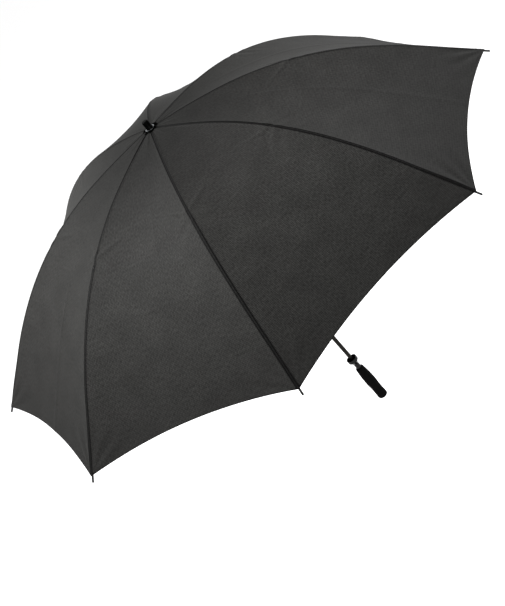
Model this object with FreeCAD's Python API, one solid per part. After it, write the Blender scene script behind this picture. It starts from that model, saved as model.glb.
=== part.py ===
"""Golf umbrella: eight-rib manual frame, cloth canopy, foam grip. Millimetres, +Z up along the shaft.

The origin is on the shaft's axis at the middle of the grip. Every rib, stretcher and canopy strip is
drawn once in the XZ plane and turned about the shaft to its own place. The umbrella stands open.
"""
import FreeCAD, Part
import math
import os

Vector = FreeCAD.Vector
X_AXIS, Y_AXIS, Z_AXIS = Vector(1, 0, 0), Vector(0, 1, 0), Vector(0, 0, 1)
CENTRE = Vector(0, 0, 0)

# ---- overall sizes -------------------------------------------------------------------------------
RIB_COUNT = 8
RIB_LENGTH = 746.0            # from the pivot in the top notch to the end of the tip
RIB_BENDS = [                 # share of the rib's length, slope below level in degrees, canopy taut
    (0.0, 4.8),
    (0.2, 10.1),
    (0.6, 34.0),
    (0.8, 43.1),
    (1.0, 43.1),
]

# ---- shaft ---------------------------------------------------------------------------------------
SHAFT_RADIUS = 5.0
SHAFT_WALL = 0.8
SHAFT_ABOVE_PIVOTS = 15.0
SHAFT_IN_GRIP = 44.0          # below the middle of the grip
SLIP_FIT = 0.05               # parts that are pressed or glued on the shaft
RUN_FIT = 0.15                # the runner, which slides on the shaft

# ---- hubs: the top notch and the runner's crown --------------------------------------------------
HUB_WALL = 2.6
HUB_TO_EYE = 0.4              # between the hub and the end of each eye
CROWN_MARGIN = 2.2            # crown beyond its ring of pivots
CROWN_DEPTH = 3.1             # below the pivots
SLOT_CLEARANCE = 0.3          # beside each eye
WIRE_RADIUS = 0.6
NOTCH_SKIRT = 9.0             # the notch's hub below the pivots

# ---- ribs and stretchers -------------------------------------------------------------------------
RIB_RADIUS = 1.7
STRETCHER_RADIUS = 1.5
JOINT_ALONG = 310.0           # rib joint, along the rib from its pivot
JOINT_DROP = 5.0              # stretcher pin below the rib's middle line
EYE_RADIUS = 2.0
LINK_EYE_RADIUS = 1.8
EYE_THICKNESS = 2.0
PIN_RADIUS = 0.6
PIN_CLEARANCE = 0.1
NECK_HALF_HEIGHT = 1.4
NECK_LENGTH = 7.0
ROD_START = 5.5               # rods begin here, where they are clear of the slots
EAR_THICKNESS = 1.0
EAR_RADIUS = 1.9
EAR_GRIP = 14.0               # how far the bracket's ears run back along the rib
ROD_BEFORE_JOINT = 4.0
TIP_WALL = 0.5
TIP_LENGTH = 22.0
TIP_COVER = 14.0              # rod inside the tip

# ---- canopy --------------------------------------------------------------------------------------
CLOTH_THICKNESS = 0.6
CLOTH_CLEARANCE = 0.9         # cloth's lower face above the rib
CLOTH_TO_CROWN = 0.6          # canopy panels begin this far outside the notch, at their middle
TIP_BARE = 13.0               # end of the tip, beyond the canopy's corner
HEM_RISE = 27.0               # how far the hem is hollowed at the middle of a panel
SEAM_GAP = 0.2                # half the gap between neighbouring panels' solids
BAND_GAP = 0.15               # half the gap between a panel's upper and lower band

# ---- top fittings --------------------------------------------------------------------------------
ROSETTE_OVERLAP = 2.7         # rosette beyond the panels' upper edge
ROSETTE_THICKNESS = 0.8
ROSETTE_TEETH = 24
ROSETTE_TOOTH = 1.3
RING_WIDTH = 6.0
RING_THICKNESS = 1.2
FERRULE_BASE_WALL = 3.0
FERRULE_WALL = 2.0
FERRULE_TAPER = 6.0           # tapered foot of the ferrule
FERRULE_HEIGHT = 18.8
FERRULE_EDGE = 1.5

# ---- runner --------------------------------------------------------------------------------------
RUNNER_BELOW = 54.0
RUNNER_ABOVE = 5.0
RUNNER_FLARE_WALL = 4.5
RUNNER_FLARE = 8.0
BOSS_HALF_WIDTH = 5.5
BOSS_WALL = 9.0               # housing's face, outside the shaft
BOSS_LOW = 34.0               # latch housing, below the pivots
BOSS_HIGH = 15.0
POCKET_DEPTH = 5.4
POCKET_WALL = 2.0
BUTTON_CLEARANCE = 0.1
BUTTON_PROUD = 1.8
BUTTON_DEPTH = 4.4
BUTTON_TRAVEL = 1.5
BUTTON_EDGE = 0.8
SPRING_RADIUS = 1.8
SPRING_WIRE = 0.3
SPRING_TURNS = 3

# ---- handle --------------------------------------------------------------------------------------
GRIP_ABOVE = 49.0
GRIP_BELOW = 55.5
GRIP_BAND_RADIUS = 12.8
GRIP_BAND_HALF = 6.0          # straight middle band, where a holder clamps
GRIP_TOP_RADIUS = 10.3
GRIP_TOP_EDGE = 4.0
GRIP_WAIST_RADIUS = 11.7
GRIP_END_RADIUS = 12.2
GRIP_WAIST_BELOW = 27.0
GRIP_END_STRAIGHT = 7.0
GRIP_END_EDGE = 5.0
CUP_NECK = 14.0               # neck between the grip and the cup's cone
CUP_CONE = 8.0
CUP_DEPTH = 10.0
CUP_ROOM = 6.7                # between the shaft and the cup's wall, for the rib tips
CUP_WALL = 1.3
CUP_FLOOR = 1.5
CUP_NECK_WALL = 1.6
TIP_ENTRY = 3.0               # how far the folded ribs reach into the cup

# ---- worked out ----------------------------------------------------------------------------------
# The rings of pivots in the notch and in the runner are alike, so ribs and stretchers fold in parallel.
STEP_ANGLE = 360.0 / RIB_COUNT
HALF_STEP = math.radians(STEP_ANGLE / 2)
BORE = SHAFT_RADIUS + SLIP_FIT
HUB_RADIUS = SHAFT_RADIUS + HUB_WALL
PIVOT_RADIUS = HUB_RADIUS + HUB_TO_EYE + EYE_RADIUS
CROWN_RADIUS = PIVOT_RADIUS + CROWN_MARGIN
SLOT_WIDTH = EYE_THICKNESS + 2 * SLOT_CLEARANCE
EAR_GAP = SLOT_WIDTH
TIP_RADIUS = RIB_RADIUS + TIP_WALL
CORNER_ALONG = RIB_LENGTH - TIP_BARE
CLOTH_LIFT = RIB_RADIUS + CLOTH_CLEARANCE
CLOTH_TOP = CLOTH_LIFT + CLOTH_THICKNESS
CLOTH_START = CROWN_RADIUS + CLOTH_TO_CROWN
NOTCH_CAP = CLOTH_TOP
NOTCH_RISE = EYE_RADIUS
ROSETTE_RADIUS = CLOTH_START + ROSETTE_OVERLAP
RING_BASE = NOTCH_CAP + ROSETTE_THICKNESS
RING_RADIUS = BORE + RING_WIDTH
FERRULE_BASE = RING_BASE + RING_THICKNESS
FERRULE_TIP_RADIUS = SHAFT_RADIUS + FERRULE_WALL
FERRULE_BASE_RADIUS = SHAFT_RADIUS + FERRULE_BASE_WALL
BOSS_OUT = SHAFT_RADIUS + BOSS_WALL
POCKET_FLOOR = BOSS_OUT - POCKET_DEPTH
CUP_INNER_RADIUS = SHAFT_RADIUS + CUP_ROOM
CUP_RADIUS = CUP_INNER_RADIUS + CUP_WALL
CUP_NECK_RADIUS = SHAFT_RADIUS + CUP_NECK_WALL
CUP_BASE = GRIP_ABOVE + CUP_NECK + CUP_CONE
CUP_RIM_HEIGHT = CUP_BASE + CUP_DEPTH


# ---- geometry of a bent rib ----------------------------------------------------------------------
def rib_slope(along):
    """Slope below level, in radians, at a distance along the rib from its pivot."""
    share = along / RIB_LENGTH
    for (start, low), (end, high) in zip(RIB_BENDS, RIB_BENDS[1:]):
        if share <= end or end == 1.0:
            return math.radians(low + (high - low) * (share - start) / (end - start))


def rib_point(along, lift=0.0):
    """Point in the XZ plane on the rib's middle line, or lifted square to it, pivots at height 0."""
    radius, height = PIVOT_RADIUS, 0.0
    for (start, low), (end, high) in zip(RIB_BENDS, RIB_BENDS[1:]):
        run = min(along, end * RIB_LENGTH) - start * RIB_LENGTH
        if run <= 0:
            break
        slope = math.radians(low)
        rate = math.radians(high - low) / ((end - start) * RIB_LENGTH)
        if rate == 0:
            radius += run * math.cos(slope)
            height -= run * math.sin(slope)
        else:
            radius += (math.sin(slope + rate * run) - math.sin(slope)) / rate
            height += (math.cos(slope + rate * run) - math.cos(slope)) / rate
    slope = rib_slope(along)
    return Vector(radius + lift * math.sin(slope), 0, height + lift * math.cos(slope))


def rib_edges(start, end, lift=0.0):
    """Arcs and lines that follow the rib from one distance to another."""
    bends = [share * RIB_LENGTH for share, slope in RIB_BENDS]
    stops = [start] + [bend for bend in bends if start < bend < end] + [end]
    edges = []
    for low, high in zip(stops, stops[1:]):
        first, middle, last = [rib_point(at, lift) for at in (low, (low + high) / 2, high)]
        if rib_slope(high) - rib_slope(low) < 1e-9:
            edges.append(Part.LineSegment(first, last).toShape())
        else:
            edges.append(Part.Arc(first, middle, last).toShape())
    return edges


def joint_point():
    """Rib joint: where the lower rib hinges on the upper rib, in the middle of both rods."""
    return rib_point(JOINT_ALONG)


def stretcher_top():
    """Pin that joins a stretcher to its rib."""
    return rib_point(JOINT_ALONG, -JOINT_DROP)


def pivot_height():
    """Rib pivots above the middle of the grip, so that the folded ribs reach just into the tip cup."""
    upper = joint_point() - rib_point(0)
    lower = rib_point(RIB_LENGTH) - joint_point()
    return CUP_RIM_HEIGHT - TIP_ENTRY + upper.Length + lower.Length


def runner_pivot():
    """Pivot of a stretcher in the runner: as far below its upper pin as that is below the notch."""
    return Vector(PIVOT_RADIUS, 0, 2 * stretcher_top().z)


# ---- building blocks -----------------------------------------------------------------------------
def tube(outer, inner, low, high):
    """Round tube, or a rod when the inner radius is 0."""
    body = Part.makeCylinder(outer, high - low, Vector(0, 0, low))
    if inner > 0:
        body = body.cut(Part.makeCylinder(inner, high - low, Vector(0, 0, low)))
    return body


def cross_pin(radius, half_width, at):
    """Round pin that lies across the XZ plane."""
    return Part.makeCylinder(radius, 2 * half_width, at - Y_AXIS * half_width, Y_AXIS)


def bar(start, end, half_height, half_width):
    """Flat bar between two points of the XZ plane."""
    along = (end - start).normalize()
    across = along.cross(Y_AXIS) * half_height
    corners = [start + across, end + across, end - across, start - across, start + across]
    face = Part.Face(Part.makePolygon(corners))
    return face.translated(-Y_AXIS * half_width).extrude(Y_AXIS * (2 * half_width))


def rod(edges, radius):
    """Round rod along a chain of tangent arcs and lines."""
    path = Part.Wire(edges)
    start = edges[0].valueAt(edges[0].FirstParameter)
    heading = edges[0].tangentAt(edges[0].FirstParameter)
    section = Part.Wire([Part.makeCircle(radius, start, heading)])
    return path.makePipeShell([section], True, True)


def fused(shapes):
    """One clean solid out of overlapping ones."""
    whole = shapes[0].fuse(shapes[1:]).removeSplitter()
    return whole.Solids[0] if len(whole.Solids) == 1 else whole


def turned_profile(points):
    """Solid of revolution about the shaft from (radius, height) corners; a triple is an arc's middle."""
    edges = []
    last = Vector(points[0][0], 0, points[0][1])
    middle = None
    for radius, height, *kind in points[1:] + points[:1]:
        here = Vector(radius, 0, height)
        if kind:
            middle = here
            continue
        curve = Part.LineSegment(last, here) if middle is None else Part.Arc(last, middle, here)
        edges.append(curve.toShape())
        last, middle = here, None
    return Part.Face(Part.Wire(edges)).revolve(CENTRE, Z_AXIS, 360)


def pivot_ring():
    """Wire ring that the eyes of ribs or stretchers turn on."""
    return Part.makeTorus(PIVOT_RADIUS, WIRE_RADIUS)


def slotted_crown(low, high, hub_low, hub_high, bore):
    """Hub with a toothed flange, one slot for each rib, and a channel for the wire ring."""
    crown = fused([tube(CROWN_RADIUS, bore, low, high), tube(HUB_RADIUS, bore, hub_low, hub_high)])
    depth = CROWN_RADIUS - HUB_RADIUS + 1
    for number in range(RIB_COUNT):
        slot = Part.makeBox(depth, SLOT_WIDTH, high - low, Vector(HUB_RADIUS, -SLOT_WIDTH / 2, low))
        crown = crown.cut(slot.rotated(CENTRE, Z_AXIS, -STEP_ANGLE * number))
    return crown.cut(pivot_ring())


def eye(at, radius, towards, pin_radius):
    """Flat eye on a wire or pin, with the neck that leads to its rod."""
    plate = Part.makeCylinder(radius, EYE_THICKNESS, at - Y_AXIS * (EYE_THICKNESS / 2), Y_AXIS)
    neck = bar(at, at + towards * NECK_LENGTH, NECK_HALF_HEIGHT, EYE_THICKNESS / 2)
    hole = cross_pin(pin_radius + PIN_CLEARANCE, EYE_THICKNESS, at)
    return fused([plate, neck]).cut(hole)


def rib_heading(along):
    """Unit vector along the rib, away from its pivot."""
    slope = rib_slope(along)
    return Vector(math.cos(slope), 0, -math.sin(slope))


# ---- ribs, stretchers and tips -------------------------------------------------------------------
def upper_rib():
    """Upper rib: eye in the notch, rod, and the bracket whose two pins carry rib and stretcher."""
    pivot = rib_point(0)
    shapes = [eye(pivot, EYE_RADIUS, rib_heading(0), WIRE_RADIUS)]
    shapes.append(rod(rib_edges(ROD_START, JOINT_ALONG - ROD_BEFORE_JOINT), RIB_RADIUS))
    hinge, pin = joint_point(), stretcher_top()
    back = rib_point(JOINT_ALONG - EAR_GRIP)
    ear_middle = (EAR_GAP + EAR_THICKNESS) / 2
    for side in (-1, 1):
        middle = Y_AXIS * (side * ear_middle)
        shapes.append(cross_pin(EAR_RADIUS, EAR_THICKNESS / 2, hinge + middle))
        shapes.append(cross_pin(EAR_RADIUS, EAR_THICKNESS / 2, pin + middle))
        shapes.append(bar(hinge, pin, EAR_RADIUS, EAR_THICKNESS / 2).translated(middle))
        shapes.append(bar(back, hinge, EAR_RADIUS, EAR_THICKNESS / 2).translated(middle))
    shapes.append(cross_pin(PIN_RADIUS, ear_middle, hinge))
    shapes.append(cross_pin(PIN_RADIUS, ear_middle, pin))
    return fused(shapes)


def lower_rib():
    """Lower rib: eye on the bracket's upper pin, then the rod that ends inside the tip."""
    shapes = [eye(joint_point(), LINK_EYE_RADIUS, rib_heading(JOINT_ALONG), PIN_RADIUS)]
    rod_end = RIB_LENGTH - TIP_LENGTH + TIP_COVER
    shapes.append(rod(rib_edges(JOINT_ALONG + ROD_START, rod_end), RIB_RADIUS))
    return fused(shapes)


def rib_tip():
    """Moulded tip: a closed sleeve with a round end, pushed on the lower rib."""
    start = RIB_LENGTH - TIP_LENGTH
    heading = rib_heading(RIB_LENGTH)
    sleeve = Part.makeCylinder(TIP_RADIUS, TIP_LENGTH - TIP_RADIUS, rib_point(start), heading)
    end = Part.makeSphere(TIP_RADIUS, rib_point(RIB_LENGTH - TIP_RADIUS))
    bore = Part.makeCylinder(RIB_RADIUS, TIP_COVER, rib_point(start), heading)
    return fused([sleeve, end]).cut(bore)


def stretcher():
    """Stretcher: a straight rod with an eye at each end, from the runner up to the rib's bracket."""
    low, high = runner_pivot(), stretcher_top()
    up = (high - low).normalize()
    shapes = [eye(low, LINK_EYE_RADIUS, up, WIRE_RADIUS), eye(high, LINK_EYE_RADIUS, -up, PIN_RADIUS)]
    length = (high - low).Length - 2 * ROD_START
    shapes.append(Part.makeCylinder(STRETCHER_RADIUS, length, low + up * ROD_START, up))
    return fused(shapes)


# ---- canopy --------------------------------------------------------------------------------------
def cloth_band(start, end):
    """Strip of a panel: the cloth's section over one rib, drawn straight across to the next rib."""
    lower, upper = rib_edges(start, end, CLOTH_LIFT), rib_edges(start, end, CLOTH_TOP)
    inner = Part.LineSegment(rib_point(start, CLOTH_LIFT), rib_point(start, CLOTH_TOP)).toShape()
    outer = Part.LineSegment(rib_point(end, CLOTH_LIFT), rib_point(end, CLOTH_TOP)).toShape()
    section = Part.Face(Part.Wire(Part.__sortEdges__(lower + [outer] + upper + [inner])))
    section = section.rotated(CENTRE, Z_AXIS, STEP_ANGLE / 2)
    width = 2 * rib_point(end).x * math.sin(HALF_STEP)
    band = section.extrude(-Y_AXIS * (width + CLOTH_TOP))
    return band.common(panel_wedge())


def panel_wedge():
    """Space between two rib planes, less the seam gap on each side."""
    reach = 2 * RIB_LENGTH
    tip = Vector(SEAM_GAP / math.sin(HALF_STEP), 0, -reach)
    left = tip + Vector(reach, reach * math.tan(HALF_STEP), 0)
    right = tip + Vector(reach, -reach * math.tan(HALF_STEP), 0)
    face = Part.Face(Part.makePolygon([tip, left, right, tip]))
    return face.extrude(Z_AXIS * (2 * reach))


def hem_cutter():
    """Wide cylinder, square to the panel at its hem, that hollows the hem between two corners."""
    corner = rib_point(CORNER_ALONG, CLOTH_LIFT)
    half_width = corner.x * math.sin(HALF_STEP)
    radius = (half_width ** 2 + HEM_RISE ** 2) / (2 * HEM_RISE)
    slope = rib_slope(CORNER_ALONG)
    down = Vector(math.cos(slope) * math.cos(HALF_STEP), 0, -math.sin(slope)).normalize()
    square = Vector(-down.z, 0, down.x)
    edge = Vector(corner.x * math.cos(HALF_STEP), 0, corner.z)
    middle = edge + down * (radius - HEM_RISE)
    return Part.makeCylinder(radius, 2 * radius, middle - square * radius, square)


def upper_panel():
    """Upper band of a panel, from the rosette to the line of the rib joints."""
    start = CLOTH_START / math.cos(HALF_STEP) - PIVOT_RADIUS
    return cloth_band(start, JOINT_ALONG - BAND_GAP)


def lower_panel():
    """Lower band of a panel, from the line of the rib joints to the hollowed hem."""
    return cloth_band(JOINT_ALONG + BAND_GAP, CORNER_ALONG).cut(hem_cutter())


# ---- shaft and top fittings ----------------------------------------------------------------------
def shaft():
    """Steel tube from inside the grip to inside the ferrule."""
    top = pivot_height() + SHAFT_ABOVE_PIVOTS
    return tube(SHAFT_RADIUS, SHAFT_RADIUS - SHAFT_WALL, -SHAFT_IN_GRIP, top)


def top_notch():
    """Top notch: the fixed hub that holds the ribs' wire ring."""
    return slotted_crown(-CROWN_DEPTH, NOTCH_RISE, -NOTCH_SKIRT, NOTCH_CAP, BORE)


def rosette():
    """Cloth disc with a pinked edge that covers the canopy's centre."""
    points = []
    for tooth in range(2 * ROSETTE_TEETH):
        radius = ROSETTE_RADIUS - ROSETTE_TOOTH * (tooth % 2)
        angle = math.pi * tooth / ROSETTE_TEETH
        points.append(Vector(radius * math.cos(angle), radius * math.sin(angle), NOTCH_CAP))
    disc = Part.Face(Part.makePolygon(points + points[:1])).extrude(Z_AXIS * ROSETTE_THICKNESS)
    return disc.cut(tube(BORE, 0, NOTCH_CAP, RING_BASE))


def ferrule_ring():
    """Metal washer that clamps the rosette and the canopy on the notch."""
    return tube(RING_RADIUS, BORE, RING_BASE, FERRULE_BASE)


def ferrule():
    """Ferrule: a short blind cap with a tapered foot, pushed on the shaft's end."""
    top = FERRULE_BASE + FERRULE_HEIGHT
    seat = SHAFT_ABOVE_PIVOTS + SLIP_FIT
    edge = FERRULE_EDGE * (1 - math.sqrt(0.5))
    return turned_profile([
        (BORE, FERRULE_BASE),
        (FERRULE_BASE_RADIUS, FERRULE_BASE),
        (FERRULE_TIP_RADIUS, FERRULE_BASE + FERRULE_TAPER),
        (FERRULE_TIP_RADIUS, top - FERRULE_EDGE),
        (FERRULE_TIP_RADIUS - edge, top - edge, "arc"),
        (FERRULE_TIP_RADIUS - FERRULE_EDGE, top),
        (0, top),
        (0, seat),
        (BORE, seat),
    ])


# ---- runner and latch ----------------------------------------------------------------------------
def boss_box(inner, outer, margin, low, high):
    """Box on the runner's +X side, by distance from the shaft and height."""
    half = BOSS_HALF_WIDTH - margin
    return Part.makeBox(outer - inner, 2 * half, high - low - 2 * margin, Vector(inner, -half, low + margin))


def runner():
    """Runner: slotted crown, long sleeve with a flared foot, and the latch's housing."""
    bore = SHAFT_RADIUS + RUN_FIT
    body = slotted_crown(-CROWN_DEPTH, CROWN_DEPTH, -RUNNER_BELOW, RUNNER_ABOVE, bore)
    flare = turned_profile([
        (bore, -RUNNER_BELOW),
        (SHAFT_RADIUS + RUNNER_FLARE_WALL, -RUNNER_BELOW),
        (HUB_RADIUS, RUNNER_FLARE - RUNNER_BELOW),
        (bore, RUNNER_FLARE - RUNNER_BELOW),
    ])
    housing = boss_box(HUB_RADIUS - 1, BOSS_OUT, 0, -BOSS_LOW, -BOSS_HIGH)
    face = [edge for edge in housing.Edges if edge.BoundBox.XMin > BOSS_OUT - BUTTON_EDGE]
    housing = housing.makeFillet(BUTTON_EDGE, face)
    housing = housing.cut(boss_box(POCKET_FLOOR, BOSS_OUT, POCKET_WALL, -BOSS_LOW, -BOSS_HIGH))
    housing = housing.rotated(CENTRE, Z_AXIS, -STEP_ANGLE / 2)
    return fused([body, flare, housing])


def latch_button():
    """Push button in the runner's housing, with a blind hole for its spring."""
    inner = BOSS_OUT + BUTTON_PROUD - BUTTON_DEPTH
    margin = POCKET_WALL + BUTTON_CLEARANCE
    button = boss_box(inner, BOSS_OUT + BUTTON_PROUD, margin, -BOSS_LOW, -BOSS_HIGH)
    face = [edge for edge in button.Edges if edge.BoundBox.XMin > BOSS_OUT + BUTTON_PROUD - 0.1]
    button = button.makeFillet(BUTTON_EDGE, face)
    seat = SPRING_RADIUS + 2 * SPRING_WIRE
    hole = Part.makeCylinder(seat, BUTTON_DEPTH / 2, latch_axis_point(inner), X_AXIS)
    return button.cut(hole).rotated(CENTRE, Z_AXIS, -STEP_ANGLE / 2)


def latch_axis_point(out):
    """Point on the latch's middle line, by distance from the shaft, before the housing is turned."""
    return Vector(out, 0, -(BOSS_LOW + BOSS_HIGH) / 2)


def latch_spring():
    """Coil spring between the housing's floor and the button's blind hole."""
    far = BOSS_OUT + BUTTON_PROUD - BUTTON_DEPTH / 2 - SPRING_WIRE
    near = POCKET_FLOOR + SPRING_WIRE
    pitch = (far - near) / SPRING_TURNS
    helix = Part.makeHelix(pitch, far - near, SPRING_RADIUS)
    section = Part.Wire([Part.makeCircle(SPRING_WIRE, Vector(SPRING_RADIUS, 0, 0), Y_AXIS)])
    coil = Part.Wire(helix.Edges).makePipeShell([section], True, True)
    coil = coil.rotated(CENTRE, Y_AXIS, 90).translated(latch_axis_point(near))
    return coil.rotated(CENTRE, Z_AXIS, -STEP_ANGLE / 2)


# ---- handle --------------------------------------------------------------------------------------
def tip_cup():
    """Tip cup: holds the rib tips when the umbrella is closed, on a cone and neck above the grip."""
    return turned_profile([
        (BORE, GRIP_ABOVE),
        (CUP_NECK_RADIUS, GRIP_ABOVE),
        (CUP_NECK_RADIUS, CUP_BASE - CUP_CONE),
        (CUP_INNER_RADIUS, CUP_BASE),
        (CUP_RADIUS, CUP_BASE + CUP_WALL),
        (CUP_RADIUS, CUP_RIM_HEIGHT - CUP_WALL / 2),
        (CUP_RADIUS - CUP_WALL / 2, CUP_RIM_HEIGHT),
        (CUP_INNER_RADIUS, CUP_RIM_HEIGHT - CUP_WALL / 2),
        (CUP_INNER_RADIUS, CUP_BASE + CUP_FLOOR),
        (BORE, CUP_BASE + CUP_FLOOR),
    ])


def grip():
    """Foam grip: rounded shoulder, swelling to a straight middle band, slight waist, rounded end."""
    top_edge = GRIP_TOP_EDGE * (1 - math.sqrt(0.5))
    end_edge = GRIP_END_EDGE * (1 - math.sqrt(0.5))
    swell = (GRIP_TOP_RADIUS + GRIP_BAND_RADIUS) / 2 + (GRIP_BAND_RADIUS - GRIP_TOP_RADIUS) / 6
    return turned_profile([
        (BORE, -SHAFT_IN_GRIP),
        (0, -SHAFT_IN_GRIP),
        (0, -GRIP_BELOW),
        (GRIP_END_RADIUS - GRIP_END_EDGE, -GRIP_BELOW),
        (GRIP_END_RADIUS - end_edge, end_edge - GRIP_BELOW, "arc"),
        (GRIP_END_RADIUS, GRIP_END_EDGE - GRIP_BELOW),
        (GRIP_END_RADIUS, GRIP_END_EDGE + GRIP_END_STRAIGHT - GRIP_BELOW),
        (GRIP_WAIST_RADIUS, -GRIP_WAIST_BELOW, "arc"),
        (GRIP_BAND_RADIUS, -GRIP_BAND_HALF),
        (GRIP_BAND_RADIUS, GRIP_BAND_HALF),
        (swell, (GRIP_BAND_HALF + GRIP_ABOVE - GRIP_TOP_EDGE) / 2, "arc"),
        (GRIP_TOP_RADIUS, GRIP_ABOVE - GRIP_TOP_EDGE),
        (GRIP_TOP_RADIUS - top_edge, GRIP_ABOVE - top_edge, "arc"),
        (GRIP_TOP_RADIUS - GRIP_TOP_EDGE, GRIP_ABOVE),
        (BORE, GRIP_ABOVE),
    ])


# ---- assembly ------------------------------------------------------------------------------------
def repeated_nodes():
    """Pieces that every rib or panel has, drawn at azimuth 0 with the pivots at height 0."""
    on_ribs = {
        "rib_upper": upper_rib(),
        "rib_lower": lower_rib(),
        "rib_tip": rib_tip(),
        "stretcher": stretcher(),
    }
    on_panels = {"canopy_upper": upper_panel(), "canopy_lower": lower_panel()}
    nodes = {}
    for number in range(RIB_COUNT):
        for name, shape in on_ribs.items():
            nodes[f"{name}_{number + 1}"] = shape.rotated(CENTRE, Z_AXIS, -STEP_ANGLE * number)
        for name, shape in on_panels.items():
            nodes[f"{name}_{number + 1}"] = shape.rotated(CENTRE, Z_AXIS, -STEP_ANGLE * (number + 0.5))
    return nodes


def hub_nodes():
    """Single pieces placed from the rib pivots."""
    drop = Vector(0, 0, runner_pivot().z)
    nodes = {
        "top_notch": top_notch(),
        "notch_wire": pivot_ring(),
        "rosette": rosette(),
        "ferrule_ring": ferrule_ring(),
        "ferrule": ferrule(),
    }
    below = {
        "runner": runner(),
        "runner_wire": pivot_ring(),
        "latch_button": latch_button(),
        "latch_spring": latch_spring(),
    }
    for name, shape in below.items():
        nodes[name] = shape.translated(drop)
    return nodes


def all_nodes():
    """Every node by name, in the umbrella's own frame."""
    lift = Vector(0, 0, pivot_height())
    nodes = {name: shape.translated(lift) for name, shape in (repeated_nodes() | hub_nodes()).items()}
    nodes |= {"shaft": shaft(), "tip_cup": tip_cup(), "grip": grip()}
    return nodes


def main():
    os.makedirs("parts", exist_ok=True)
    for name, shape in all_nodes().items():
        shape.exportStep(f"parts/{name}.step")
        print(name, "solids", len(shape.Solids), "valid", shape.isValid(), "volume", round(shape.Volume, 1))


if __name__ == "__main__":
    main()
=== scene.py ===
"""Golf umbrella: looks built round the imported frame. Metres, +Z up along the shaft, origin in the grip.

The cloth is eight gores. Each gore is one curved sheet, made as an upper and a lower band, because the
ribs under it bend at their joints when the umbrella folds.
"""
import bpy
import math
from mathutils import Matrix, Vector, noise


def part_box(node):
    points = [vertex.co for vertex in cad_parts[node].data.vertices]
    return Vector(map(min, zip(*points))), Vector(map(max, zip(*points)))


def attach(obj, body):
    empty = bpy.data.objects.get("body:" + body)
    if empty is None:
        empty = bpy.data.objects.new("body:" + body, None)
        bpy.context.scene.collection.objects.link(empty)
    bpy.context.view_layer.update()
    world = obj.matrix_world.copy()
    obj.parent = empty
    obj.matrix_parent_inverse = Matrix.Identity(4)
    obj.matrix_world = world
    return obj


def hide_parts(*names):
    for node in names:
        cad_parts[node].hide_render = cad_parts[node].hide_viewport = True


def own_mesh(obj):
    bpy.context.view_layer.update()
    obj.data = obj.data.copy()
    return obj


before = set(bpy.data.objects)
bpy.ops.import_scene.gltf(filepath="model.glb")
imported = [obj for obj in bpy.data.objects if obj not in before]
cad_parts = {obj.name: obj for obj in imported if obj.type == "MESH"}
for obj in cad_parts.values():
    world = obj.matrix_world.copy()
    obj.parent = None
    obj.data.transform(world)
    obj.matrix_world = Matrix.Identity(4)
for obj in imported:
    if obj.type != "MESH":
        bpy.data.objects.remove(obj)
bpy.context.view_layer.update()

bl_info = {
    "name": "Golf umbrella looks",
    "version": (1, 0, 0),
    "blender": (4, 5, 0),
    "location": "View3D > Sidebar > Umbrella",
    "description": "Canopy, stitching, grip and finishes for a golf umbrella frame",
    "category": "Object",
}

MM = 0.001

# ---- frame geometry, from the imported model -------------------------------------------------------
RIB_COUNT = sum(name.startswith("rib_upper_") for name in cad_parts)
STEP_ANGLE = 2 * math.pi / RIB_COUNT
HALF_STEP = STEP_ANGLE / 2
WIRE_LOW, WIRE_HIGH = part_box("notch_wire")
PIVOT_HEIGHT = (WIRE_LOW.z + WIRE_HIGH.z) / 2
PIVOT_RADIUS = WIRE_HIGH.x - (WIRE_HIGH.z - WIRE_LOW.z) / 2
SHAFT_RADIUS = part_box("shaft")[1].x
ROSETTE_LOW, ROSETTE_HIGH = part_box("rosette")
GRIP_LOW, GRIP_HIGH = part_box("grip")

# ---- taut rib, as the frame's ribs are bent ------------------------------------------------------
RIB_LENGTH = 746 * MM
RIB_BENDS = [(0.0, 4.8), (0.2, 10.1), (0.6, 34.0), (0.8, 43.1), (1.0, 43.1)]
RIB_JOINT = 310 * MM
CORNER_ALONG = 733 * MM          # canopy's corners, along the rib
HEM_RISE = 25 * MM               # hollow of the hem at the middle of a gore
CLOTH_LIFT = 3.2 * MM            # outer face of the cloth above the rib's middle line
CLOTH_START = 13.5 * MM          # gores begin under the rosette
CUT_LEFT = 0.965                 # a gore is shorter down its middle than down its ribs, by about this

# ---- seams and tones of the cloth ----------------------------------------------------------------
SEAM_GROOVE = 2.2 * MM                  # half width of the groove where two gores meet
LAP_INSIDE = (0.5 * MM, 2 * MM)         # distances off a seam over which the folded edges rise
LAP_OUTSIDE = (4.5 * MM, 6.5 * MM)      # and over which they end
HEM_STEP = 0.8 * MM                     # half width of the step at the turned hem's edge
SHADE_REACH = 2.7 * MM                  # distance off a seam that is shaded, above the rib joints
SHADE_REACH_MORE = 1.5 * MM             # added to it below the joints, where more cloth is folded in
HEM_SHADE_REACH = 1.3 * MM
# Depth of the painted shade for a distance off a seam, as a share of twice the reach.
SEAM_SHADE = [(0.0, 0.65), (0.14, 0.65), (0.24, 1.0), (0.42, 1.0), (0.64, 0.0), (1.0, 0.0)]
# Painted shade and highlight down each gore: share of the full tone for a share of the way from the crown
# to a gore's corner, darker at the crown and the hem.
GORE_PAINTED_SHADING = [(0.0, 0.46), (0.15, 0.5), (0.28, 0.72), (0.42, 0.96), (0.6, 1.0), (0.8, 0.82), (1.0, 0.6)]

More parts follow.
